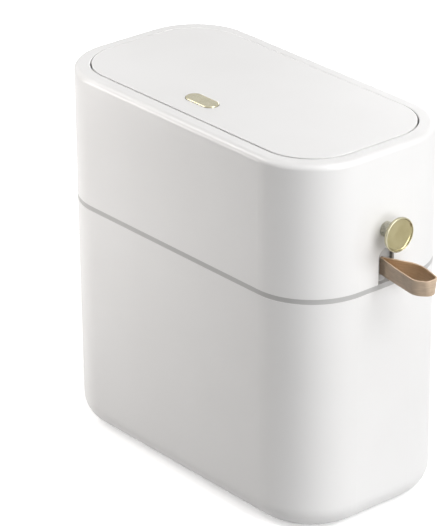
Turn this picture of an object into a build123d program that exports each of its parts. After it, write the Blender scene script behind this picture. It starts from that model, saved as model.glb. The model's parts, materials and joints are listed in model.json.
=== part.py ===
"""Slim press-lid bin: a bucket, a bag ring that clamps the bag, and an upper housing
with a hinged lid, a push button with its latch, and a knob that holds the drawstring."""

import os
from math import cos, pi, radians, sin, sqrt

from build123d import *

# Outer shape. X runs along the bin towards the knob, Z is up, and the base is at Z = 0
length = 330.4
width = 171.2
height = 330.0
corner_r = 57.0
wall = 2.5
draft_deg = 0.25
base_round = 22.0
rim_round = 5.0
seam_z = 209.5
seam_h = 4.5
housing_z = seam_z + seam_h

# Bag ring, lying in the seam
ring_inset = 0.3
ring_wall = 2.0
ring_edge_r = 0.6
skirt_gap = 0.8
skirt_h = 19.5
spigot_gap = 2.45
spigot_h = 30.0

# Mouth in the top of the housing, and the lid that closes it
rim_width = 12.8
rim_plate = 3.0
mouth_r = 46.5
mouth_edge_r = 0.8
lid_gap = 1.1
lid_proud = 0.5
lid_plate = 2.5
lid_edge_r = 0.6
lid_skirt_inset = 3.0
lid_skirt_wall = 2.0
lid_skirt_h = 7.8

# Mouth frame, screwed up into the housing from below
frame_fit = 0.4
frame_wall = 2.0
frame_plate = 2.2
frame_boss_h = 9.0
frame_drop = 22.0
ledge_w = 7.3
boss_r = 3.2
boss_pitch = 92.0
boss_clear = 2.0

# Fits and fasteners
seat_gap = 0.3
screw_r = 1.4
screw_hole_gap = 0.1
screw_head_r = 2.7
screw_head_h = 1.8
screw_head_edge = 0.5
screw_bite = 5.5
hole_extra = 1.0

# Hinge: a pin at each end, far enough forward that the round back corners of the lid
# swing down inside the mouth without meeting its edge
hinge_from_lid_back = 40.0
hinge_below_lid_top = 5.3
pin_r = 1.25
pin_grip = 0.02
pin_run = 0.08
pin_hold = 7.0
pin_edge = 0.2
pin_block_w = 9.0
lug_w = 8.0
lug_t = 5.0
lug_root = 1.0
ledge_clear = 10.0

# Springs
wire_r = 0.3
lid_coil_r = 1.75
lid_coil_pitch = 1.15
lid_coil_turns = 2.25
lid_coil_gap = 0.65
lid_spring_leg = 10.0
spring_r = 1.7
button_spring_turns = 4
latch_spring_turns = 4
spring_end_gap = 0.05

# Push button and the latch that it drives through a 45 degree wedge
button_x = -7.5
button_in = 25.7
button_l = 35.0
button_w = 15.0
button_proud = 1.2
button_edge_r = 1.0
button_gap = 0.3
button_wall = 1.5
button_top_t = 1.8
button_flange = 1.6
button_flange_h = 1.3
button_travel = 2.5
sleeve_wall = 1.5
sleeve_h = 4.8
wedge_w = 8.0
wedge_front = 3.5
wedge_back = 3.6
wedge_tip_gap = 0.2
slider_w = 18.0
slider_h = 3.0
slider_back = 14.0
slider_drop = 2.0
nose_gap = 0.4
nose_hold = 2.2
nose_edge = 0.8
strike_t = 1.2
strike_lip_h = 1.5
strike_w = 30.0
strike_h = 12.0

# Cover of the latch, under the lid
cover_in_x = 20.0
cover_wall = 1.5
cover_back = 27.5
cover_flange = 5.5
cover_lip = 1.0
cover_screw_front = 8.4
cover_screw_back = 6.5
rail_h = 2.5
rail_w = 3.0
rail_in = 1.0
slider_window_h = 4.0
liner_t = 1.6
liner_cut_gap = 1.0
lid_boss_r = 3.0
lid_boss_end_in = 26.3
lid_boss_side_in = 29.7

# Soft pads under the edge of the lid
pad_r = 2.2
pad_edge_gap = 1.5

# Drawstring knob on the end wall, and the notch below it
knob_z = 261.4
knob_r = 14.0
knob_stand = 19.3
knob_head_t = 2.7
knob_edge_r = 0.7
knob_back_r = 1.5
knob_rim_w = 1.6
knob_rim_in_r = 0.4
knob_dish_r = 8.2
knob_dish_d = 1.5
knob_neck_r = 6.6
knob_root_r = 1.2
knob_screw_bite = 7.0
notch_y = 0.75
notch_half = 8.25
notch_top = 244.8

# Leather pull strap, folded into a loop
strap_low = 6.0
strap_w = 15.0
strap_t = 1.5
strap_droop_deg = 1.5
strap_overlap = 1.0
tail_half = 17.0
backplate_t = 1.2
backplate_lip = 1.0
backplate_r = 3.0
rivet_y = 13.0
rivet_r = 1.6
rivet_head_r = 3.0
rivet_head_h = 1.0
rivet_edge_r = 0.4
rivet_tail_r = 2.5

def end_at(long, across, radius, y):
    """How far out the end of a round-cornered outline is at y."""
    into_corner = max(0, abs(y) - across / 2 + radius)
    return long / 2 - radius + sqrt(radius**2 - into_corner**2)


# Heights and outlines that follow from the sizes above
half_l = length / 2
inner_l = length - 2 * wall
inner_w = width - 2 * wall
inner_r = corner_r - wall
skirt_l = inner_l - 2 * skirt_gap
skirt_w = inner_w - 2 * skirt_gap
skirt_r = inner_r - skirt_gap
spigot_l = inner_l - 2 * spigot_gap
spigot_w = inner_w - 2 * spigot_gap
spigot_r = inner_r - spigot_gap
mouth_l = length - 2 * rim_width
mouth_w = width - 2 * rim_width
rim_under = height - rim_plate
frame_l = mouth_l + 2 * frame_fit
frame_w = mouth_w + 2 * frame_fit
frame_r = mouth_r + frame_fit
frame_seat = rim_under - frame_boss_h
frame_bottom = frame_seat - frame_drop
lid_l = mouth_l - 2 * lid_gap
lid_w = mouth_w - 2 * lid_gap
lid_r = mouth_r - lid_gap
lid_top = height + lid_proud
lid_under = lid_top - lid_plate
lid_skirt_end = lid_under - lid_skirt_h
hinge_y = lid_w / 2 - hinge_from_lid_back
hinge_z = lid_top - hinge_below_lid_top
hinge_end = end_at(frame_l, frame_w, frame_r, hinge_y)
skirt_end = end_at(
    lid_l - 2 * lid_skirt_inset, lid_w - 2 * lid_skirt_inset, lid_r - lid_skirt_inset, hinge_y
)
slider_top = lid_skirt_end - slider_drop
slider_z = slider_top - slider_h
cover_floor = slider_z - rail_h - seat_gap
liner_top = lid_skirt_end + liner_t
cover_front = -lid_w / 2 + lid_skirt_inset + lid_skirt_wall + seat_gap
button_y = -lid_w / 2 + button_in
cover_back_y = button_y + cover_back
nose_y = -frame_w / 2 + strike_t + nose_gap
spigot_face = spigot_l / 2
wall_face = half_l
strap_z = housing_z + strap_low


def outline(long, across, radius):
    """The bin's plan shape, a rectangle with round corners."""
    return RectangleRounded(long, across, radius)


def coil_marks(turns, radius, pitch):
    """Points and directions along a coil round +Z, every quarter turn, with level ends."""
    steps = round(turns * 4)
    found = []
    for i in range(steps + 1):
        a = pi / 2 * i
        place = Vector(radius * cos(a), radius * sin(a), pitch * i / 4)
        rise = 0 if i in (0, steps) else pitch / (2 * pi)
        found.append((place, Vector(-radius * sin(a), radius * cos(a), rise).normalized()))
    return found


def arc_pair(start, start_dir, end, end_dir):
    """Two arcs that leave start and reach end along the given directions."""
    v = end - start
    t = start_dir + end_dir
    k = 2 * (1 - start_dir.dot(end_dir))
    d = (-v.dot(t) + sqrt(v.dot(t) ** 2 + k * v.dot(v))) / k
    meet = (start + start_dir * d + end - end_dir * d) * 0.5
    first = Edge.make_tangent_arc(start, start_dir, meet)
    second = Edge.make_tangent_arc(meet, first % 1, end)
    return [first, second]


def coil_edges(turns, radius, pitch):
    """One unbroken run of arcs that follows the coil."""
    marks = coil_marks(turns, radius, pitch)
    edges = []
    for (p0, d0), (p1, d1) in zip(marks, marks[1:]):
        edges += arc_pair(p0, d0, p1, d1)
    return edges


def wound(name, edges, plane):
    """A spring of round wire along the edges, set on the plane, with its least gap printed."""
    path = Wire(edges)
    spots = [path @ (i / 300) for i in range(301)]
    skip = round(300 * pi * spring_r / path.length)
    near = min((p - q).length for i, p in enumerate(spots) for q in spots[i + skip :])
    print(name, "least gap to itself", round(near - 2 * wire_r, 2), "mm")
    with BuildPart() as spring:
        with BuildSketch(Plane(origin=path @ 0, z_dir=path % 0)):
            Circle(wire_r)
        sweep(path=path)
    placed = spring.part.moved(plane.location)
    placed.label = name
    return placed


def lid_spring(name, plane):
    """A torsion spring round the hinge pin, with one leg under the lid."""
    coil = coil_edges(lid_coil_turns, lid_coil_r, lid_coil_pitch)
    head = Edge.make_line(coil[0] @ 0 - (coil[0] % 0) * lid_spring_leg, coil[0] @ 0)
    tail = Edge.make_line(coil[-1] @ 1, coil[-1] @ 1 + (coil[-1] % 1) * lid_spring_leg)
    return wound(name, [head] + coil + [tail], plane)


def press_spring(name, plane, free, turns):
    """A compression spring along the plane's normal, free mm long over its wire."""
    pitch = (free - 2 * wire_r) / turns
    return wound(name, coil_edges(turns, spring_r, pitch), plane.offset(wire_r))


def screw(plane, shank):
    """A pan head screw whose head sits on the plane and whose shank runs along its normal."""
    with BuildPart(plane) as one:
        with BuildSketch(plane):
            Circle(screw_r)
        extrude(amount=shank)
        with BuildSketch(plane):
            Circle(screw_head_r)
        extrude(amount=-screw_head_h)
        chamfer(one.edges().filter_by(GeomType.CIRCLE).sort_by(Axis(plane.origin, plane.z_dir))[0], screw_head_edge)
    return one.part


# Bucket, with the draft of its mould and a well rounded foot
mould_down = Plane(origin=(0, 0, seam_z), z_dir=(0, 0, -1))
with BuildPart() as bucket_void:
    with BuildSketch(mould_down):
        outline(inner_l, inner_w, inner_r)
    extrude(amount=seam_z - wall, taper=draft_deg)
    fillet(bucket_void.faces().sort_by(Axis.Z)[0].edges(), base_round - wall)

with BuildPart() as bucket:
    with BuildSketch(mould_down):
        outline(length, width, corner_r)
    extrude(amount=seam_z, taper=draft_deg)
    fillet(bucket.faces().sort_by(Axis.Z)[0].edges(), base_round)
    add(bucket_void.part, mode=Mode.SUBTRACT)
bucket.part.label = "bucket"

# Bag ring: a band in the seam, a skirt into the bucket and a spigot into the housing
with BuildPart() as bag_ring:
    with BuildSketch(Plane.XY.offset(seam_z)):
        outline(length - 2 * ring_inset, width - 2 * ring_inset, corner_r - ring_inset)
    extrude(amount=seam_h)
    with BuildSketch(Plane.XY.offset(seam_z)):
        outline(skirt_l, skirt_w, skirt_r)
    extrude(amount=-skirt_h)
    with BuildSketch(Plane.XY.offset(housing_z)):
        outline(spigot_l, spigot_w, spigot_r)
    extrude(amount=spigot_h)
    with BuildSketch(Plane.XY.offset(seam_z - skirt_h)):
        outline(skirt_l - 2 * ring_wall, skirt_w - 2 * ring_wall, skirt_r - ring_wall)
    extrude(amount=skirt_h, mode=Mode.SUBTRACT)
    with BuildSketch(Plane.XY.offset(seam_z)):
        outline(spigot_l - 2 * ring_wall, spigot_w - 2 * ring_wall, spigot_r - ring_wall)
    extrude(amount=seam_h + spigot_h, mode=Mode.SUBTRACT)
    fillet(bag_ring.faces().sort_by(Axis.Z)[-1].edges(), ring_edge_r)
    # Slot for the doubled strap, and the holes of its rivets
    with BuildSketch(Plane.YZ.offset(spigot_face - ring_wall)):
        with Locations((0, strap_z + strap_w / 2)):
            Rectangle(2 * strap_t + 2 * seat_gap, strap_w + 2 * seat_gap)
            with Locations((-rivet_y, 0), (rivet_y, 0)):
                Circle(rivet_r + seat_gap / 3)
    extrude(amount=ring_wall, mode=Mode.SUBTRACT)
bag_ring.part.label = "bag_ring"

# Upper housing: thin walls under a flat rim, open below and at the mouth
with BuildPart() as housing_void:
    with BuildSketch(Plane.XY.offset(housing_z)):
        outline(inner_l, inner_w, inner_r)
    extrude(amount=rim_under - housing_z)
    fillet(housing_void.faces().sort_by(Axis.Z)[-1].edges(), rim_round - wall)

long_boss_y = (frame_w / 2 + frame_wall + inner_w / 2) / 2
end_boss_x = (frame_l / 2 + frame_wall + inner_l / 2) / 2
boss_spots = [(boss_pitch * i, long_boss_y * s) for i in (-1, 0, 1) for s in (-1, 1)]
end_boss_y = hinge_y - pin_block_w / 2 - boss_clear - boss_r
boss_spots += [(end_boss_x * s, end_boss_y * t) for s in (-1, 1) for t in (-1, 1)]

with BuildPart() as upper_housing:
    with BuildSketch(Plane.XY.offset(housing_z)):
        outline(length, width, corner_r)
    extrude(amount=height - housing_z)
    fillet(upper_housing.faces().sort_by(Axis.Z)[-1].edges(), rim_round)
    add(housing_void.part, mode=Mode.SUBTRACT)
    with BuildSketch(Plane.XY.offset(rim_under)):
        outline(mouth_l, mouth_w, mouth_r)
    extrude(amount=rim_plate, mode=Mode.SUBTRACT)
    fillet(upper_housing.faces().sort_by(Axis.Z)[-1].inner_wires().edges(), mouth_edge_r)
    # Bosses for the screws of the mouth frame
    with BuildSketch(Plane.XY.offset(rim_under)):
        with Locations(*boss_spots):
            Circle(boss_r)
    extrude(amount=-frame_boss_h)
    with BuildSketch(Plane.XY.offset(frame_seat)):
        with Locations(*boss_spots):
            Circle(screw_r + screw_hole_gap)
    extrude(amount=screw_bite + hole_extra, mode=Mode.SUBTRACT)
    # Notch that lets the strap and the drawstring out, and the hole of the knob's screw
    with BuildSketch(Plane.YZ.offset(wall_face - wall)):
        with Locations((notch_y, (housing_z + notch_top - notch_half) / 2)):
            Rectangle(2 * notch_half, notch_top - notch_half - housing_z)
        with Locations((notch_y, notch_top - notch_half)):
            Circle(notch_half)
        with Locations((0, knob_z)):
            Circle(screw_r + screw_hole_gap)
    extrude(amount=wall, mode=Mode.SUBTRACT)
upper_housing.part.label = "upper_housing"

# Mouth frame: a throat under the mouth, the plate that carries it, and the pin blocks
cover_half = cover_in_x + cover_wall
front_cut = cover_half + cover_flange

with BuildPart() as mouth_frame:
    with BuildSketch(Plane.XY.offset(frame_bottom)):
        outline(frame_l + 2 * frame_wall, frame_w + 2 * frame_wall, frame_r + frame_wall)
    extrude(amount=rim_under - seat_gap - frame_bottom)
    with BuildSketch(Plane.XY.offset(frame_seat)):
        outline(inner_l - 2 * frame_fit, inner_w - 2 * frame_fit, inner_r - frame_fit)
    extrude(amount=-frame_plate)
    with BuildSketch(Plane.XY.offset(frame_bottom)):
        outline(frame_l, frame_w, frame_r)
    extrude(amount=rim_under - seat_gap - frame_bottom, mode=Mode.SUBTRACT)
    # Ledge under the edge of the lid, at the front and both ends
    with BuildSketch(Plane.XY.offset(frame_seat)):
        outline(frame_l + frame_wall, frame_w + frame_wall, frame_r + frame_wall / 2)
        RectangleRounded(
            frame_l - 2 * ledge_w, frame_w - 2 * ledge_w, frame_r - ledge_w, mode=Mode.SUBTRACT
        )
        with Locations((0, hinge_y - ledge_clear + frame_w / 2)):
            Rectangle(frame_l + 4 * frame_wall, frame_w, mode=Mode.SUBTRACT)
        with Locations((button_x, -frame_w / 2 + frame_wall)):
            Rectangle(2 * front_cut, 2 * ledge_w + 2 * frame_wall, mode=Mode.SUBTRACT)
    extrude(amount=-frame_plate)
    # Blocks outside the throat that hold the hinge pins
    for side in (-1, 1):
        with BuildSketch(Plane.XY.offset(frame_seat)):
            with Locations((side * (hinge_end + pin_hold / 2 + pin_grip), hinge_y)):
                Rectangle(pin_hold, pin_block_w)
        extrude(amount=rim_under - seat_gap - frame_seat)
    with BuildSketch(Plane.YZ.offset(-hinge_end - pin_hold)):
        with Locations((hinge_y, hinge_z)):
            Circle(pin_r + pin_grip)
    extrude(amount=2 * (hinge_end + pin_hold), mode=Mode.SUBTRACT)
    # Holes of the frame screws and of the strike's screws
    with BuildSketch(Plane.XY.offset(frame_seat)):
        with Locations(*boss_spots):
            Circle(screw_r + screw_hole_gap)
    extrude(amount=-frame_plate, mode=Mode.SUBTRACT)
mouth_frame.part.label = "mouth_frame"

frame_screws = Compound(
    [
        screw(Plane(origin=(x, y, frame_seat - frame_plate)), frame_plate + screw_bite)
        for x, y in boss_spots
    ]
)
frame_screws.label = "frame_screws"

# Hinge pins, each held in its block and reaching into the lug of the lid
pin_end = hinge_end + pin_hold
pin_in = lid_l / 2 - lid_skirt_inset - lid_skirt_wall - lug_t
hinge_pins = []
for side in (-1, 1):
    with BuildPart() as pin:
        with BuildSketch(Plane.YZ.offset(side * pin_in)):
            with Locations((hinge_y, hinge_z)):
                Circle(pin_r)
        extrude(amount=side * (pin_end - pin_in))
        chamfer(pin.edges().filter_by(GeomType.CIRCLE), pin_edge)
    pin.part.label = "hinge_pin_left" if side < 0 else "hinge_pin_right"
    hinge_pins.append(pin.part)

# Strike: a bent steel catch behind the front wall of the throat
strike_face = -frame_w / 2
lip_z = slider_top + seat_gap
with BuildPart() as latch_strike:
    with BuildSketch(Plane.XY.offset(lip_z)):
        with Locations((button_x, strike_face + strike_t / 2)):
            Rectangle(strike_w, strike_t)
    extrude(amount=strike_lip_h)
    with BuildSketch(Plane.XY.offset(lip_z)):
        with Locations((button_x, strike_face + strike_t / 2)):
            Rectangle(strike_w, strike_t)
    extrude(amount=-strike_h)
    with BuildSketch(Plane.XY.offset(lip_z)):
        lip_reach = strike_t + nose_gap + nose_hold
        with Locations((button_x, strike_face + lip_reach / 2)):
            Rectangle(strike_w, lip_reach)
    extrude(amount=strike_lip_h)
latch_strike.part.label = "latch_strike"

# Soft pads on the ledge
pad_x = lid_l / 2 - lid_skirt_inset - lid_skirt_wall / 2
pad_y = lid_w / 2 - lid_skirt_inset - lid_skirt_wall / 2
pad_end_y = hinge_y - ledge_clear - pad_r - pad_edge_gap
pad_spots = [(s * pad_x, t * pad_end_y) for s in (-1, 1) for t in (-1, 1)]
pad_spots += [(s * boss_pitch, -pad_y) for s in (-1, 1)]
with BuildPart() as lid_bumpers:
    with BuildSketch(Plane.XY.offset(frame_seat)):
        with Locations(*pad_spots):
            Circle(pad_r)
    extrude(amount=lid_skirt_end - seat_gap - frame_seat)
lid_bumpers.part.label = "lid_bumpers"

# Knob on the end wall, turned about its own axis
knob_front = wall_face + knob_stand
knob_back = knob_front - knob_head_t
with BuildPart() as drawstring_knob:
    with BuildSketch(Plane.XZ):
        with BuildLine():
            Polyline(
                (wall_face, knob_z),
                (wall_face, knob_z + knob_neck_r),
                (knob_back, knob_z + knob_neck_r),
                (knob_back, knob_z + knob_r),
                (knob_front, knob_z + knob_r),
                (knob_front, knob_z + knob_r - knob_rim_w),
            )
            dish_floor = knob_front - knob_dish_d
            dish_end = (knob_front, knob_z + knob_r - knob_rim_w)
            TangentArc((dish_floor, knob_z + knob_dish_r), dish_end, tangent=(0, 1))
            Polyline((dish_floor, knob_z + knob_dish_r), (dish_floor, knob_z), (wall_face, knob_z))
        make_face()
    revolve(axis=Axis((0, 0, knob_z), (1, 0, 0)))
    neck_end = drawstring_knob.edges().filter_by(GeomType.CIRCLE).group_by(SortBy.RADIUS)[0]
    fillet(neck_end.sort_by(Axis.X)[-1], knob_root_r)
    rims = drawstring_knob.edges().filter_by(GeomType.CIRCLE).group_by(SortBy.RADIUS)[-1]
    fillet(rims.sort_by(Axis.X)[0], knob_back_r)
    rims = drawstring_knob.edges().filter_by(GeomType.CIRCLE).group_by(SortBy.RADIUS)[-1]
    fillet(rims.sort_by(Axis.X)[-1], knob_edge_r)
    at_front = drawstring_knob.edges().filter_by(GeomType.CIRCLE).group_by(Axis.X)[-1]
    fillet(at_front.sort_by(SortBy.RADIUS)[0], knob_rim_in_r)
    with BuildSketch(Plane.YZ.offset(wall_face)):
        with Locations((0, knob_z)):
            Circle(screw_r + screw_hole_gap)
    extrude(amount=knob_screw_bite + hole_extra, mode=Mode.SUBTRACT)
drawstring_knob.part.label = "drawstring_knob"

knob_screw = screw(Plane(origin=(wall_face - wall, 0, knob_z), z_dir=(1, 0, 0)), wall + knob_screw_bite)
knob_screw.label = "knob_screw"

# Lid panel: a flat plate, a skirt below it, and the sleeve of the push button
lid_boss_x = lid_l / 2 - lid_boss_end_in
lid_boss_y = lid_w / 2 - lid_boss_side_in
lid_boss_spots = [(lid_boss_x * i, lid_boss_y * s) for i in (-1, -0.5, 0.5, 1) for s in (-1, 1)]
cover_rows = (cover_front + cover_screw_front, cover_back_y - cover_screw_back)
cover_spots = [
    (button_x + s * (cover_half + cover_flange / 2), y) for s in (-1, 1) for y in cover_rows
]
with BuildPart() as lid_panel:
    with BuildSketch(Plane.XY.offset(lid_under)):
        outline(lid_l, lid_w, lid_r)
    extrude(amount=lid_plate)
    fillet(lid_panel.faces().sort_by(Axis.Z)[-1].edges(), lid_edge_r)
    with BuildSketch(Plane.XY.offset(lid_under)):
        skirt_out = 2 * lid_skirt_inset
        skirt_in = skirt_out + 2 * lid_skirt_wall
        outline(lid_l - skirt_out, lid_w - skirt_out, lid_r - lid_skirt_inset)
    extrude(amount=-lid_skirt_h)
    with BuildSketch(Plane.XY.offset(lid_under)):
        outline(lid_l - skirt_in, lid_w - skirt_in, lid_r - lid_skirt_inset - lid_skirt_wall)
    extrude(amount=-lid_skirt_h, mode=Mode.SUBTRACT)
    with BuildSketch(Plane.XY.offset(lid_under)):
        with Locations(*lid_boss_spots, *cover_spots):
            Circle(lid_boss_r)
    extrude(amount=liner_top - lid_under)
    with BuildSketch(Plane.XY.offset(liner_top)):
        with Locations(*lid_boss_spots, *cover_spots):
            Circle(screw_r + screw_hole_gap)
    extrude(amount=screw_bite, mode=Mode.SUBTRACT)
    with BuildSketch(Plane.XY.offset(lid_under)):
        with Locations((button_x, button_y)):
            sleeve_w = button_w + 2 * button_gap + 2 * sleeve_wall
            SlotOverall(button_l + 2 * button_gap + 2 * sleeve_wall, sleeve_w)
    extrude(amount=-sleeve_h)
    with BuildSketch(Plane.XY.offset(lid_top)):
        with Locations((button_x, button_y)):
            SlotOverall(button_l + 2 * button_gap, button_w + 2 * button_gap)
    extrude(amount=-lid_plate - sleeve_h, mode=Mode.SUBTRACT)
    # Hinge lugs, thick spots of the skirt with the bore of the pin
    for side in (-1, 1):
        with BuildSketch(Plane.XY.offset(lid_under)):
            with Locations((side * (lid_l / 2 - skirt_in / 2 - lug_t / 2 + lug_root / 2), hinge_y)):
                Rectangle(lug_t + lug_root, lug_w)
        extrude(amount=liner_top + seat_gap - lid_under)
    with BuildSketch(Plane.YZ.offset(-lid_l / 2)):
        with Locations((hinge_y, hinge_z)):
            Circle(pin_r + pin_run)
    extrude(amount=lid_l, mode=Mode.SUBTRACT)
lid_panel.part.label = "lid_panel"

# Liner: the plate that closes the lid from below
with BuildPart() as lid_liner:
    with BuildSketch(Plane.XY.offset(lid_skirt_end)):
        fit_in = skirt_in + 2 * seat_gap
        fit_r = lid_r - lid_skirt_inset - lid_skirt_wall - seat_gap
        outline(lid_l - fit_in, lid_w - fit_in, fit_r)
        with Locations((button_x, cover_back_y / 2 + cover_front / 2)):
            Rectangle(2 * cover_in_x, cover_back_y - cover_front + liner_cut_gap, mode=Mode.SUBTRACT)
        with Locations(*lid_boss_spots, *cover_spots):
            Circle(screw_r + screw_hole_gap, mode=Mode.SUBTRACT)
    extrude(amount=liner_t)
lid_liner.part.label = "lid_liner"

liner_screws = Compound(
    [
        screw(Plane(origin=(x, y, lid_skirt_end)), liner_t + screw_bite - hole_extra)
        for x, y in lid_boss_spots
    ]
)
liner_screws.label = "liner_screws"

# Cover: a tray that holds the latch and the lower ends of the springs
cover_len = cover_back_y + cover_wall - cover_front
cover_mid = cover_front + cover_len / 2
with BuildPart() as latch_cover:
    with BuildSketch(Plane.XY.offset(cover_floor - cover_wall)):
        with Locations((button_x, cover_mid)):
            Rectangle(2 * cover_half, cover_len)
    extrude(amount=lid_skirt_end - cover_floor + cover_wall)
    with BuildSketch(Plane.XY.offset(lid_skirt_end)):
        with Locations((button_x, cover_mid + cover_flange / 2)):
            Rectangle(2 * front_cut - cover_lip, cover_len + cover_flange)
        with Locations((button_x, cover_front)):
            Rectangle(2 * front_cut, 2 * cover_lip, mode=Mode.SUBTRACT)
    extrude(amount=-cover_wall)
    with BuildSketch(Plane.XY.offset(cover_floor)):
        with Locations((button_x, cover_mid)):
            Rectangle(2 * cover_in_x, cover_len - 2 * cover_wall)
    extrude(amount=lid_skirt_end - cover_floor, mode=Mode.SUBTRACT)
    # Way out for the nose of the latch, between two guide walls with rails
    with BuildSketch(Plane.XY.offset(slider_z - seat_gap)):
        with Locations((button_x, cover_front + cover_wall / 2)):
            Rectangle(slider_w + 2 * seat_gap, cover_wall)
    extrude(amount=slider_h + slider_window_h, mode=Mode.SUBTRACT)
    with BuildSketch(Plane.XY.offset(cover_floor)):
        for side in (-1, 1):
            guide_x = button_x + side * (slider_w / 2 + seat_gap + cover_wall / 2)
            with Locations((guide_x, cover_mid)):
                Rectangle(cover_wall, cover_len - 2 * cover_wall)
    extrude(amount=rail_h + slider_h)
    with BuildSketch(Plane.XY.offset(cover_floor)):
        for side in (-1, 1):
            with Locations((button_x + side * (slider_w / 2 - rail_in), cover_mid)):
                Rectangle(rail_w, cover_len - 2 * cover_wall)
    extrude(amount=rail_h)
    with BuildSketch(Plane.XY.offset(lid_skirt_end)):
        with Locations(*cover_spots):
            Circle(screw_r + screw_hole_gap)
    extrude(amount=-cover_wall, mode=Mode.SUBTRACT)
latch_cover.part.label = "latch_cover"

cover_screws = Compound(
    [
        screw(Plane(origin=(x, y, lid_skirt_end - cover_wall)), cover_wall + liner_t + screw_bite - hole_extra)
        for x, y in cover_spots
    ]
)
cover_screws.label = "cover_screws"

# Push button: a hollow cap with a stop flange and a wedge below
button_top = lid_top + button_proud
flange_top = lid_under - sleeve_h - seat_gap
cap_under = button_top - button_top_t
tip_z = slider_z + wedge_tip_gap
with BuildPart() as push_button:
    with BuildSketch(Plane.XY.offset(button_top)):
        with Locations((button_x, button_y)):
            SlotOverall(button_l, button_w)
    extrude(amount=flange_top - button_flange_h - button_top)
    fillet(push_button.faces().sort_by(Axis.Z)[-1].edges(), button_edge_r)
    with BuildSketch(Plane.XY.offset(flange_top)):
        with Locations((button_x, button_y)):
            SlotOverall(button_l + 2 * button_flange, button_w + 2 * button_flange)
    extrude(amount=-button_flange_h)
    with BuildSketch(Plane.XY.offset(cap_under)):
        with Locations((button_x, button_y)):
            SlotOverall(button_l - 2 * button_wall, button_w - 2 * button_wall)
    extrude(amount=flange_top - button_flange_h - cap_under, mode=Mode.SUBTRACT)
    with BuildSketch(Plane.YZ.offset(button_x - wedge_w / 2)):
        with BuildLine():
            Polyline(
                (button_y - wedge_front, cap_under),
                (button_y - wedge_front, tip_z),
                (button_y + wedge_back + tip_z - slider_top, tip_z),
                (button_y + wedge_back, slider_top),
                (button_y + wedge_back, cap_under),
                (button_y - wedge_front, cap_under),
            )
        make_face()
    extrude(amount=wedge_w)
push_button.part.label = "push_button"

# Latch: a flat slider whose slanted window edge lies against the wedge
window_back = button_y + wedge_back + seat_gap
window_front = button_y - wedge_front - button_travel - seat_gap
slider_end = button_y + slider_back
with BuildPart() as latch_slider:
    with BuildSketch(Plane.XY.offset(slider_z)):
        with Locations((button_x, (nose_y + slider_end) / 2)):
            Rectangle(slider_w, slider_end - nose_y)
    extrude(amount=slider_h)
    with BuildSketch(Plane.YZ.offset(button_x - wedge_w / 2 - seat_gap)):
        with BuildLine():
            Polyline(
                (window_front, slider_z),
                (window_back - slider_h, slider_z),
                (window_back, slider_top),
                (window_front, slider_top),
                (window_front, slider_z),
            )
        make_face()
    extrude(amount=wedge_w + 2 * seat_gap, mode=Mode.SUBTRACT)
    nose = latch_slider.edges().filter_by(Axis.X).group_by(Axis.Y)[0].sort_by(Axis.Z)[-1]
    chamfer(nose, nose_edge)
latch_slider.part.label = "latch_slider"

# Springs
spring_x = slider_w / 2 + seat_gap + cover_wall + wire_r + spring_r + seat_gap
spring_free = cap_under - cover_floor - 2 * spring_end_gap
button_springs = []
for side, name in ((-1, "button_spring_left"), (1, "button_spring_right")):
    seat = Plane(origin=(button_x + side * spring_x, button_y, cover_floor + spring_end_gap))
    button_springs.append(press_spring(name, seat, spring_free, button_spring_turns))

latch_free = cover_back_y - slider_end - 4 * spring_end_gap
back_y = cover_back_y - 2 * spring_end_gap
back_seat = Plane(origin=(button_x, back_y, slider_z + slider_h / 2), z_dir=(0, -1, 0))
latch_spring = press_spring("latch_spring", back_seat, latch_free, latch_spring_turns)

coil_in = skirt_end + lid_coil_gap + wire_r
coil_start = Plane((-coil_in, hinge_y, hinge_z), (0, 0, 1), (-1, 0, 0))
left_spring = lid_spring("lid_spring_left", coil_start)
right_spring = mirror(left_spring, about=Plane.YZ)
right_spring.label = "lid_spring_right"

# Strap: two sketched outlines, one at each edge of the leather, lofted to a loop
tilt = radians(strap_droop_deg)
loop_top = [(29.5, 16.4), (58.4, 9.8), (57.3, -2.8), (48.0, -9.3), (22.0, -5.9)]
loop_low = [(28.8, 15.6), (57.6, 9.4), (54.6, 0.6), (46.4, -7.0), (22.0, -4.3)]
loop_radii = [30.0, 5.0, 6.0, 5.0, 150.0]
strap_root = spigot_face


def loop_sketch(z, corners, inset):
    """The loop seen from above at height z, drawn inset mm inside its outer face."""
    level = Plane(
        origin=(strap_root, 0, z), x_dir=(cos(tilt), 0, -sin(tilt)), z_dir=(sin(tilt), 0, cos(tilt))
    )
    with BuildSketch(level) as drawn:
        with BuildLine():
            path = FilletPolyline((0, strap_t), *corners, (0, -strap_t), radius=loop_radii)
            Line(path @ 1, path @ 0)
        make_face()
        if inset:
            offset(amount=-inset)
    return drawn.sketch


with BuildPart() as strap_loop:
    loft([loop_sketch(strap_z, loop_low, 0), loop_sketch(strap_z + strap_w, loop_top, 0)])
    loft(
        [
            loop_sketch(strap_z, loop_low, strap_t),
            loop_sketch(strap_z + strap_w, loop_top, strap_t),
        ],
        mode=Mode.SUBTRACT,
    )
    # The two layers pass the slot together and spread behind the ring
    with BuildSketch(Plane.XY.offset(strap_z)):
        with Locations((strap_root - ring_wall / 2, 0)):
            Rectangle(ring_wall + 2 * strap_overlap, 2 * strap_t)
        with Locations((strap_root - ring_wall - seat_gap / 3 - strap_t / 2, 0)):
            Rectangle(strap_t, 2 * tail_half)
    extrude(amount=strap_w)
    with BuildSketch(Plane.YZ.offset(strap_root - ring_wall)):
        with Locations((-rivet_y, strap_z + strap_w / 2), (rivet_y, strap_z + strap_w / 2)):
            Circle(rivet_r + seat_gap / 3)
    extrude(amount=-strap_t - seat_gap, mode=Mode.SUBTRACT)
strap_loop.part.label = "strap_loop"

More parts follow.
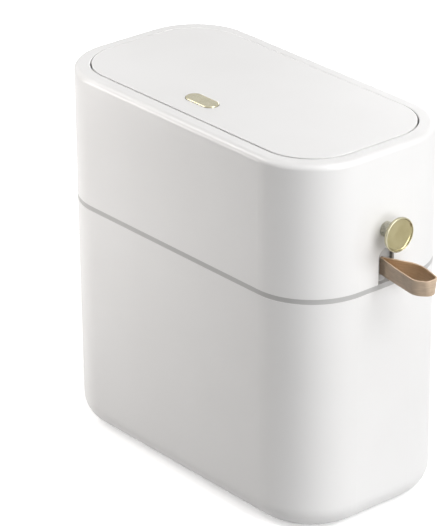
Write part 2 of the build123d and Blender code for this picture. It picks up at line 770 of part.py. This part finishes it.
tail_back = strap_root - ring_wall - seat_gap / 3 - strap_t
with BuildPart() as strap_backplate:
    with BuildSketch(Plane.YZ.offset(tail_back)):
        with Locations((0, strap_z + strap_w / 2)):
            plate_h = strap_w + 2 * backplate_lip
            RectangleRounded(2 * (tail_half + backplate_lip), plate_h, backplate_r)
            with Locations((-rivet_y, 0), (rivet_y, 0)):
                Circle(rivet_r + seat_gap / 3, mode=Mode.SUBTRACT)
    extrude(amount=-backplate_t)
strap_backplate.part.label = "strap_backplate"

rivets = []
for side in (-1, 1):
    with BuildPart() as rivet:
        with BuildSketch(Plane.YZ.offset(spigot_face)):
            with Locations((side * rivet_y, strap_z + strap_w / 2)):
                Circle(rivet_head_r)
        extrude(amount=rivet_head_h)
        fillet(rivet.faces().sort_by(Axis.X)[-1].edges(), rivet_edge_r)
        with BuildSketch(Plane.YZ.offset(spigot_face)):
            with Locations((side * rivet_y, strap_z + strap_w / 2)):
                Circle(rivet_r)
        extrude(amount=tail_back - backplate_t - spigot_face)
        with BuildSketch(Plane.YZ.offset(tail_back - backplate_t)):
            with Locations((side * rivet_y, strap_z + strap_w / 2)):
                Circle(rivet_tail_r)
        extrude(amount=-rivet_head_h)
    rivets.append(rivet.part)
strap_rivets = Compound(rivets)
strap_rivets.label = "strap_rivets"

pieces = [
    bucket.part,
    bag_ring.part,
    strap_loop.part,
    strap_backplate.part,
    strap_rivets,
    upper_housing.part,
    mouth_frame.part,
    frame_screws,
    *hinge_pins,
    latch_strike.part,
    lid_bumpers.part,
    drawstring_knob.part,
    knob_screw,
    lid_panel.part,
    lid_liner.part,
    liner_screws,
    latch_cover.part,
    cover_screws,
    left_spring,
    right_spring,
    push_button.part,
    *button_springs,
    latch_slider.part,
    latch_spring,
]
os.makedirs("parts", exist_ok=True)
for piece in pieces:
    export_step(piece, f"parts/{piece.label}.step")
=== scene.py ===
"""Looks of the slim press-lid bin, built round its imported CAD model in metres."""

import json
from math import cos, pi, radians, sin, tan

import bmesh
import bpy
from mathutils import Matrix, Vector


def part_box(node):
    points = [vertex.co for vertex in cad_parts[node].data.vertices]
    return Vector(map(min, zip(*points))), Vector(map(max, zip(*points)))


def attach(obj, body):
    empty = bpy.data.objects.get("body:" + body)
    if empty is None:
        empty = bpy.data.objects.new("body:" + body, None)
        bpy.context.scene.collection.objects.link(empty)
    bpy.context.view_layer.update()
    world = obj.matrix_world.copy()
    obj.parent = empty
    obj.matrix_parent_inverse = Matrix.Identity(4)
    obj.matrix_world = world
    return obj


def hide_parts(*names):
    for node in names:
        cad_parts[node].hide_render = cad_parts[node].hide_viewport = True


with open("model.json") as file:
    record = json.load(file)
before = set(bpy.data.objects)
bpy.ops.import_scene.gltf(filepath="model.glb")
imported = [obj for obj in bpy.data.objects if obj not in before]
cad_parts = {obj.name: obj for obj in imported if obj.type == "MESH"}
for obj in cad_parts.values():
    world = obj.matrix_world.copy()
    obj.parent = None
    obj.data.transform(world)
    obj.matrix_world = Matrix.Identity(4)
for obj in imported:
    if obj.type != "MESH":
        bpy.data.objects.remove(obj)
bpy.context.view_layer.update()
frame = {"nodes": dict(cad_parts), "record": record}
nodes = frame["nodes"]
scene = bpy.context.scene

MM = 0.001

# Camera, fitted to the outline of the bin in a 440 by 526 picture
IMAGE_TALL = 526
FOCAL_PX = 3312.3
SENSOR_MM = 36.0
AZIMUTH = radians(50.252)
ELEVATION = radians(25.014)
ROLL = radians(-0.5485)
DISTANCE = 2.796
AIM = Vector((0, 0, 0.165))
SIDE_SHIFT = -0.02696
RISE_SHIFT = 0.00733

# Strap, on the route of the CAD loop with a rounder and slightly shorter tip, in
# millimetres. Corners are given out from the root and to the side of the middle, for
# the band's lower and upper edge. The tail is the part that lies behind the ring.
STRAP_ROOT = 160.25
STRAP_Z = 220.0
STRAP_W = 15.0
STRAP_T = 1.5
STRAP_DROOP = radians(1.5)
TAIL_HALF = 16.8
TAIL_FACE = -2.1
LOOP_TOP = [(29.5, 16.4), (57.6, 9.8), (56.6, -2.8), (48.0, -9.3), (22.0, -5.9)]
LOOP_LOW = [(28.8, 15.6), (56.9, 9.4), (54.0, 0.6), (46.4, -7.0), (22.0, -4.3)]
LOOP_RADII = [30.0, 6.5, 6.0, 13.0, 150.0]
PINCH_RADII = (2.0, 6.0)
TAIL_RADIUS = 0.3
EDGE_ROUND = 0.45
RUN_STEPS = 10
ARC_STEPS = 14
SECTION_STEPS = 6
EDGE_STEPS = 8
OUTSIDE, INSIDE, CUT_EDGE = range(3)

# Knob on the end wall, in millimetres out from the wall and from its own axis
KNOB_Z = 261.4
KNOB_R = 14.8
KNOB_STAND = 16.8
KNOB_HEAD = 3.0
KNOB_EDGE_R = 0.6
KNOB_BACK_R = 1.0
KNOB_RIM = 1.0
KNOB_RIM_IN_R = 0.3
KNOB_DISH_R = 11.3
KNOB_DISH_D = 1.9
KNOB_NECK_R = 6.6
KNOB_ROOT_R = 1.2
KNOB_BORE_R = 1.5
KNOB_BORE_DEEP = 8.0
ROUND_STEPS = 6
BOWL_STEPS = 12
BOWL_RINGS = (0.95, 0.66, 0.33, 0)
TURN_STEPS = 96
# Material slots of the knob: face in gold, rim in paler gold as a painted highlight, neck in
# near-white gold as painted light
FACE, RIM, NECK = range(3)

# Noise, in cells to the metre, and how far it changes a gloss or a shade
DRIFT_SCALE = 9.0
GLOSS_SCALE = 60.0
SKIN_SCALE = 2600.0
PLATING_SCALE = 120.0
POLISH_SCALE = 1500.0
POLISH_LESS = 0.05
POLISH_MORE = 0.07
PORE_SCALE = 1500.0
STAIN_SCALE = 70.0
STAIN_SHADES = (0.9, 1.06)
FIBRE_STRETCH = (0.3, 0.3, 3.4)

# Floor and world, in metres and as shares of white
FLOOR_SIZE = 14
FLOOR_DROP = 0.0002
FLOOR_HIDDEN = 0.38
FLOOR_GLOW = 0.42
FAR_GLOW = 0.8
FAR_START = 0.45
FAR_END = 0.95
WORLD_HIDDEN = 0.031

# Lamps: name, place, target, side in metres, power in watts, colour
PLAIN = (1, 1, 1)
WARM = (1.0, 0.975, 0.952)
LAMPS = [
    ("key_side", (2.2, 2.0, 1.3), (0.1, 0, 0.18), 1.6, 7, PLAIN),
    ("key_low", (2.7, -0.1, 0.75), (0.1, 0, 0.18), 1.4, 32, PLAIN),
    ("key_high", (1.9, 0.3, 2.3), (0.1, 0, 0.18), 1.6, 50, PLAIN),
    ("top_soft", (0.0, 0.2, 3.0), (0, 0, 0.2), 2.0, 8, PLAIN),
    ("left_high", (-0.55, -0.55, 0.9), (-0.08, -0.05, 0.3), 0.4, 3.55, WARM),
    ("left_card", (-0.5, -0.5, 0.28), (-0.14, -0.05, 0.25), 0.3, 1.8, WARM),
    ("back_fill", (-1.3, 2.2, 0.5), (0, 0, 0.18), 1.4, 21, PLAIN),
]


def new_material(name, color, roughness, metallic=0.0):
    """A material whose even values sit on the shader's own sockets."""
    made = bpy.data.materials.new(name)
    made.use_nodes = True
    shader = made.node_tree.nodes["Principled BSDF"]
    shader.inputs["Base Color"].default_value = (*color, 1)
    shader.inputs["Roughness"].default_value = roughness
    shader.inputs["Metallic"].default_value = metallic
    return made, made.node_tree, shader


def node(tree, kind, **values):
    """A node of the tree with its inputs and options set by name."""
    made = tree.nodes.new("ShaderNode" + kind)
    for key, value in values.items():
        if key in made.inputs:
            made.inputs[key].default_value = value
        else:
            setattr(made, key, value)
    return made


def object_noise(tree, scale, detail, stretch=(1, 1, 1)):
    """Noise in the object's own metres, stretched along its axes."""
    place = node(tree, "TexCoord")
    shape = node(tree, "Mapping", Scale=stretch)
    noise = node(tree, "TexNoise", Scale=scale, Detail=detail)
    tree.links.new(place.outputs["Object"], shape.inputs["Vector"])
    tree.links.new(shape.outputs["Vector"], noise.inputs["Vector"])
    return noise


def ramp(tree, source, low, high, start=0.3, end=0.7):
    """Colours blended between low and high by a grey source."""
    made = node(tree, "ValToRGB")
    made.color_ramp.elements[0].position = start
    made.color_ramp.elements[0].color = (*low, 1)
    made.color_ramp.elements[1].position = end
    made.color_ramp.elements[1].color = (*high, 1)
    tree.links.new(source, made.inputs["Fac"])
    return made


def grey_ramp(tree, source, low, high, start=0.3, end=0.7):
    """Greys blended between low and high by a grey source."""
    return ramp(tree, source, (low,) * 3, (high,) * 3, start, end)


def seen_rays(tree):
    """1 for camera, glossy and transmission rays, so that metal shows the backdrop too."""
    path = node(tree, "LightPath")
    first = node(tree, "Math", operation="MAXIMUM")
    tree.links.new(path.outputs["Is Camera Ray"], first.inputs[0])
    tree.links.new(path.outputs["Is Glossy Ray"], first.inputs[1])
    both = node(tree, "Math", operation="MAXIMUM")
    tree.links.new(first.outputs[0], both.inputs[0])
    tree.links.new(path.outputs["Is Transmission Ray"], both.inputs[1])
    return both.outputs[0]


def add_bump(tree, shader, source, strength, distance):
    """Fine relief from a grey source, distance in metres."""
    bump = node(tree, "Bump", Strength=strength, Distance=distance)
    tree.links.new(source, bump.inputs["Height"])
    tree.links.new(bump.outputs["Normal"], shader.inputs["Normal"])


def plastic(name, low, high, roughness, spread, bump, coat=0.0):
    """Moulded plastic: a slow drift of colour and gloss, and a very fine skin."""
    made, tree, shader = new_material(name, high, roughness)
    drift = object_noise(tree, DRIFT_SCALE, detail=2.0)
    tint = ramp(tree, drift.outputs["Fac"], low, high)
    tree.links.new(tint.outputs["Color"], shader.inputs["Base Color"])
    gloss = object_noise(tree, GLOSS_SCALE, detail=3.0)
    rough = grey_ramp(tree, gloss.outputs["Fac"], roughness - spread, roughness + spread)
    tree.links.new(rough.outputs["Color"], shader.inputs["Roughness"])
    skin = object_noise(tree, SKIN_SCALE, detail=2.0)
    add_bump(tree, shader, skin.outputs["Fac"], strength=0.25, distance=bump)
    shader.inputs["Coat Weight"].default_value = coat
    shader.inputs["Coat Roughness"].default_value = 0.22
    return made


def metal(name, low, high, roughness, stretch=(1, 1, 1), bump=0.000004):
    """Plated or bright metal with faint polishing marks."""
    made, tree, shader = new_material(name, high, roughness, 1.0)
    drift = object_noise(tree, PLATING_SCALE, detail=2.0)
    tint = ramp(tree, drift.outputs["Fac"], low, high)
    tree.links.new(tint.outputs["Color"], shader.inputs["Base Color"])
    marks = object_noise(tree, POLISH_SCALE, 3.0, stretch)
    least, most = roughness - POLISH_LESS, roughness + POLISH_MORE
    rough = grey_ramp(tree, marks.outputs["Fac"], least, most)
    tree.links.new(rough.outputs["Color"], shader.inputs["Roughness"])
    add_bump(tree, shader, marks.outputs["Fac"], strength=0.3, distance=bump)
    return made


def leather(name, low, high, roughness, grain=420.0, pore_depth=0.00006):
    """Smooth leather: long fibres, fine grain, and a faint drift of colour."""
    made, tree, shader = new_material(name, high, roughness)
    fibres = object_noise(tree, grain, 6.0, FIBRE_STRETCH)
    tint = ramp(tree, fibres.outputs["Fac"], low, high)
    stain = object_noise(tree, STAIN_SCALE, detail=2.0)
    shade = grey_ramp(tree, stain.outputs["Fac"], *STAIN_SHADES)
    mixed = node(tree, "Mix", data_type="RGBA", blend_type="MULTIPLY")
    mixed.inputs["Factor"].default_value = 1.0
    tree.links.new(tint.outputs["Color"], mixed.inputs["A"])
    tree.links.new(shade.outputs["Color"], mixed.inputs["B"])
    tree.links.new(mixed.outputs["Result"], shader.inputs["Base Color"])
    pores = node(tree, "TexVoronoi", Scale=PORE_SCALE)
    place = node(tree, "TexCoord")
    tree.links.new(place.outputs["Object"], pores.inputs["Vector"])
    height = node(tree, "Math", operation="ADD")
    tree.links.new(pores.outputs["Distance"], height.inputs[0])
    tree.links.new(fibres.outputs["Fac"], height.inputs[1])
    add_bump(tree, shader, height.outputs["Value"], strength=0.45, distance=pore_depth)
    shader.inputs["Sheen Weight"].default_value = 0.12
    return made


white = plastic("satin_white", (0.835, 0.828, 0.822), (0.865, 0.860, 0.856),
                roughness=0.34, spread=0.03, bump=0.000004, coat=0.25)
grey_ring = plastic("grey_ring", (0.485, 0.48, 0.475), (0.545, 0.54, 0.535),
                    roughness=0.42, spread=0.04, bump=0.000008)
inner = plastic("inner_plastic", (0.56, 0.56, 0.555), (0.60, 0.60, 0.595),
                roughness=0.5, spread=0.05, bump=0.00001)
rubber = plastic("pad_rubber", (0.04, 0.04, 0.04), (0.06, 0.06, 0.06),
                 roughness=0.75, spread=0.05, bump=0.00002)
gold = metal("satin_gold", (0.31, 0.272, 0.15), (0.355, 0.315, 0.185), roughness=0.2)
# Paler gold: the push button's own colour, and on the knob's rim a painted highlight, lighter than
# the face's gold where lamp reflections fall
pale_gold_and_rim_highlight = metal("pale_gold_and_rim_highlight", (0.46, 0.43, 0.305), (0.51, 0.475, 0.345), roughness=0.22)
# Near-white gold for the knob's neck: painted light, a lit copy of the knob's gold lifted to make
# up for the dim shaded wall the neck reflects
neck_painted_light_gold = metal("neck_painted_light_gold", (0.80, 0.78, 0.67), (0.88, 0.86, 0.75), roughness=0.25)
steel = metal("bright_steel", (0.56, 0.56, 0.57), (0.66, 0.66, 0.67),
              roughness=0.3, stretch=(1, 1, 6))
hide = leather("strap_outside", (0.54, 0.405, 0.29), (0.68, 0.525, 0.38), roughness=0.5)
hide_inside = leather("strap_inside", (0.49, 0.31, 0.165), (0.60, 0.395, 0.225),
                      roughness=0.55, grain=300.0, pore_depth=0.00004)
hide_edge = leather("strap_edge", (0.68, 0.50, 0.35), (0.80, 0.63, 0.47),
                    roughness=0.6, grain=900.0, pore_depth=0.00003)

slot_material = {
    "white_shell": white,
    "grey_ring": grey_ring,
    "inner_plastic": inner,
    "gold_metal": gold,
    "steel": steel,
    "soft_pad": rubber,
    "strap_leather": hide,
}
for part in frame["record"]["subparts"]:
    shown = nodes[part["node"]]
    shown.data.materials.clear()
    shown.data.materials.append(slot_material[part["material_slot"]])
nodes["push_button"].data.materials[0] = pale_gold_and_rim_highlight


def finished_object(mesh, name, finishes):
    """A scene object from a bmesh, with outward normals and its materials in order."""
    bmesh.ops.recalc_face_normals(mesh, faces=mesh.faces)
    data = bpy.data.meshes.new(name)
    mesh.to_mesh(data)
    mesh.free()
    for finish in finishes:
        data.materials.append(finish)
    made = bpy.data.objects.new(name, data)
    scene.collection.objects.link(made)
    return made


def rounded_path(points, radii):
    """Points along straight runs joined by arcs, with the direction at each, in 2D."""
    found = [(Vector(points[0]), (Vector(points[1]) - Vector(points[0])).normalized())]
    for before, here, after, radius in zip(points, points[1:], points[2:], radii):
        corner = Vector(here)
        way_in = (corner - Vector(before)).normalized()
        way_out = (Vector(after) - corner).normalized()
        turn_by = way_in.angle_signed(way_out)
        reach = radius * abs(tan(turn_by / 2))
        start = corner - way_in * reach
        side = Vector((way_in.y, -way_in.x)) * (1 if turn_by > 0 else -1)
        centre = start + side * radius
        last = found[-1][0]
        for i in range(1, RUN_STEPS):
            found.append((last.lerp(start, i / RUN_STEPS), way_in.copy()))
        for i in range(ARC_STEPS + 1):
            turned = Matrix.Rotation(-turn_by * i / ARC_STEPS, 2)
            found.append((centre + turned @ (start - centre), turned @ way_in))
    end = Vector(points[-1])
    last = found[-1][0]
    for i in range(1, RUN_STEPS + 1):
        found.append((last.lerp(end, i / RUN_STEPS), (end - last).normalized()))
    return found


def band_section():
    """Depth and height shares round the strap's section, with softly rounded edges, and
    the material of the face that starts at each point."""
    ring = []
    rise = EDGE_ROUND / STRAP_W
    for i in range(SECTION_STEPS):
        ring.append((0.0, rise + (1 - 2 * rise) * i / SECTION_STEPS, OUTSIDE))
    for i in range(EDGE_STEPS + 1):
        a = pi * i / EDGE_STEPS
        ring.append(((1 - cos(a)) / 2, 1 - rise + rise * sin(a), CUT_EDGE))
    ring[-1] = (*ring[-1][:2], INSIDE)
    for i in range(1, SECTION_STEPS):
        ring.append((1.0, 1 - rise - (1 - 2 * rise) * i / SECTION_STEPS, INSIDE))
    for i in range(EDGE_STEPS):
        a = pi * i / EDGE_STEPS
        ring.append(((1 + cos(a)) / 2, rise - rise * sin(a), CUT_EDGE))
    return ring


def strap_mesh():
    """The folded strap: a band round the loop, through the slot and out behind the ring."""
    edges = []
    for corners in (LOOP_LOW, LOOP_TOP):
        points = [(TAIL_FACE, TAIL_HALF), (TAIL_FACE, STRAP_T), (0, STRAP_T), *corners]
        points += [(0, -STRAP_T), (TAIL_FACE, -STRAP_T), (TAIL_FACE, -TAIL_HALF)]
        radii = [TAIL_RADIUS, PINCH_RADII[0], *LOOP_RADII, PINCH_RADII[1], TAIL_RADIUS]
        edges.append(rounded_path(points, radii))
    section = band_section()
    mesh = bmesh.new()
    rings = []
    for (low, low_dir), (top, top_dir) in zip(*edges):
        ring = []
        for depth, height, _ in section:
            places = []
            for spot, way, base in ((low, low_dir, STRAP_Z), (top, top_dir, STRAP_Z + STRAP_W)):
                into = spot + Vector((way.y, -way.x)) * (STRAP_T * depth)
                drop = max(into.x, 0) * tan(STRAP_DROOP)
                places.append(Vector((STRAP_ROOT + into.x, into.y, base - drop)))
            ring.append(mesh.verts.new(places[0].lerp(places[1], height) * MM))
        rings.append(ring)
    count = len(section)
    for before, after in zip(rings, rings[1:]):
        for i in range(count):
            j = (i + 1) % count
            face = mesh.faces.new((before[i], before[j], after[j], after[i]))
            face.material_index = section[i][2]
            face.smooth = True
    for ring in (rings[0], list(reversed(rings[-1]))):
        mesh.faces.new(ring).material_index = CUT_EDGE
    return finished_object(mesh, "leather_strap", (hide, hide_inside, hide_edge))


strap = strap_mesh()
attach(strap, "bag_ring")
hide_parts("strap_loop")


def arc(centre, radius, start, end):
    """Points on an arc between two angles in degrees."""
    angles = [radians(start + (end - start) * i / ROUND_STEPS) for i in range(ROUND_STEPS + 1)]
    return [(centre[0] + radius * cos(a), centre[1] + radius * sin(a)) for a in angles]


def knob_profile():
    """Half section of the knob, and the material of the face that starts at each point."""
    front = KNOB_STAND
    back = front - KNOB_HEAD
    lip = KNOB_R - KNOB_RIM
    bore = [(KNOB_BORE_DEEP, 0), (KNOB_BORE_DEEP, KNOB_BORE_R), (0, KNOB_BORE_R)]
    neck = [(0, KNOB_NECK_R)]
    neck += arc((back - KNOB_ROOT_R, KNOB_NECK_R + KNOB_ROOT_R), KNOB_ROOT_R, -90, 0)
    behind = arc((back + KNOB_BACK_R, KNOB_R - KNOB_BACK_R), KNOB_BACK_R, 180, 90)
    rim = [behind.pop()]
    rim += arc((front - KNOB_EDGE_R, KNOB_R - KNOB_EDGE_R), KNOB_EDGE_R, 90, 0)
    rim += arc((front - KNOB_RIM_IN_R, lip + KNOB_RIM_IN_R), KNOB_RIM_IN_R, 0, -90)
    bowl = []
    for i in range(1, BOWL_STEPS + 1):
        a = pi / 2 * i / BOWL_STEPS
        deep = KNOB_RIM_IN_R + (KNOB_DISH_D - KNOB_RIM_IN_R) * sin(a)
        bowl.append((front - deep, lip - (lip - KNOB_DISH_R) * (1 - cos(a))))
    bowl += [(front - KNOB_DISH_D, KNOB_DISH_R * share) for share in BOWL_RINGS]
    runs = ((bore, FACE), (neck, NECK), (behind, FACE), (rim, RIM), (bowl, FACE))
    return [(*point, finish) for points, finish in runs for point in points]


def knob_mesh():
    """The turned knob, seated on the wall where the CAD knob stands."""
    wall_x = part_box("drawstring_knob")[0][0]
    mesh = bmesh.new()
    rings = []
    section = knob_profile()
    for out, radius, _ in section:
        turns = TURN_STEPS if radius > 0 else 1
        ring = []
        for i in range(turns):
            a = 2 * pi * i / turns
            spot = (wall_x + out * MM, radius * MM * cos(a), (KNOB_Z + radius * sin(a)) * MM)
            ring.append(mesh.verts.new(spot))
        rings.append(ring)
    for before, after, (_, _, finish) in zip(rings, rings[1:], section):
        for i in range(TURN_STEPS):
            j = (i + 1) % TURN_STEPS
            if len(before) == 1:
                corners = (before[0], after[j], after[i])
            elif len(after) == 1:
                corners = (before[i], before[j], after[0])
            else:
                corners = (before[i], before[j], after[j], after[i])
            face = mesh.faces.new(corners)
            face.material_index = finish
            face.smooth = True
    # One gold knob in three colours: painted highlight on the rim and painted light on the neck,
    # both paler than the face
    return finished_object(mesh, "gold_knob", (gold, pale_gold_and_rim_highlight, neck_painted_light_gold))


knob = knob_mesh()
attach(knob, "upper_housing")
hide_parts("drawstring_knob")

# Floor and backdrop in one sheet, white to the camera, with the bin's shadow kept. Far
# from the bin, where the lamps don't reach, it glows more for the camera alone.
bpy.ops.mesh.primitive_plane_add(size=FLOOR_SIZE, location=(0, 0, -FLOOR_DROP))
floor = bpy.context.object
floor.name = "floor"
floor_mat, floor_tree, floor_shader = new_material("floor_white", (0.9, 0.9, 0.9), 0.9)
floor_shader.inputs["Specular IOR Level"].default_value = 0.0
floor_seen = seen_rays(floor_tree)
floor_tint = grey_ramp(floor_tree, floor_seen, FLOOR_HIDDEN, 1.0, 0.0, 1.0)
floor_tree.links.new(floor_tint.outputs["Color"], floor_shader.inputs["Base Color"])
floor_glow = node(floor_tree, "Math", operation="MULTIPLY")
floor_glow.inputs[1].default_value = FLOOR_GLOW
floor_tree.links.new(floor_seen, floor_glow.inputs[0])
floor_shader.inputs["Emission Color"].default_value = (1, 1, 1, 1)
floor_place = node(floor_tree, "TexCoord")
floor_away = node(floor_tree, "VectorMath", operation="LENGTH")
floor_tree.links.new(floor_place.outputs["Object"], floor_away.inputs[0])
floor_far = grey_ramp(floor_tree, floor_away.outputs["Value"], 0.0, FAR_GLOW, FAR_START, FAR_END)
floor_path = node(floor_tree, "LightPath")
floor_lift = node(floor_tree, "Math", operation="MULTIPLY_ADD")
floor_tree.links.new(floor_far.outputs["Color"], floor_lift.inputs[0])
floor_tree.links.new(floor_path.outputs["Is Camera Ray"], floor_lift.inputs[1])
floor_tree.links.new(floor_glow.outputs["Value"], floor_lift.inputs[2])
floor_tree.links.new(floor_lift.outputs["Value"], floor_shader.inputs["Emission Strength"])
floor.data.materials.append(floor_mat)


def area_lamp(name, place, target, side, power, color):
    """A square soft box that faces its target."""
    data = bpy.data.lights.new(name, "AREA")
    data.shape = "RECTANGLE"
    data.size = data.size_y = side
    data.energy = power
    data.color = color
    lamp = bpy.data.objects.new(name, data)
    lamp.location = place
    lamp.rotation_euler = (Vector(target) - Vector(place)).to_track_quat("-Z", "Y").to_euler()
    scene.collection.objects.link(lamp)


for lamp_values in LAMPS:
    area_lamp(*lamp_values)

world = bpy.data.worlds.new("studio")
scene.world = world
world.use_nodes = True
world_tree = world.node_tree
backdrop = world_tree.nodes["Background"]
level = grey_ramp(world_tree, seen_rays(world_tree), WORLD_HIDDEN, 1.0, 0.0, 1.0)
world_tree.links.new(level.outputs["Color"], backdrop.inputs["Strength"])
backdrop.inputs["Color"].default_value = (1, 1, 1, 1)

# Camera, turned about its own line of sight by the fitted roll
view_back = Vector((sin(AZIMUTH) * cos(ELEVATION), -cos(AZIMUTH) * cos(ELEVATION), sin(ELEVATION)))
level_right = Vector((cos(AZIMUTH), sin(AZIMUTH), 0))
level_up = view_back.cross(level_right)
view_right = level_right * cos(ROLL) + level_up * sin(ROLL)
view_up = level_up * cos(ROLL) - level_right * sin(ROLL)
camera_data = bpy.data.cameras.new("camera")
camera_data.sensor_width = SENSOR_MM
camera_data.lens = FOCAL_PX / IMAGE_TALL * SENSOR_MM
camera_data.clip_end = 50
camera = bpy.data.objects.new("camera", camera_data)
turn = Matrix((view_right, view_up, view_back)).transposed().to_4x4()
eye = AIM + view_back * DISTANCE + view_right * SIDE_SHIFT + view_up * RISE_SHIFT
camera.matrix_world = Matrix.Translation(eye) @ turn
scene.collection.objects.link(camera)
scene.camera = camera

scene.view_settings.view_transform = "Standard"
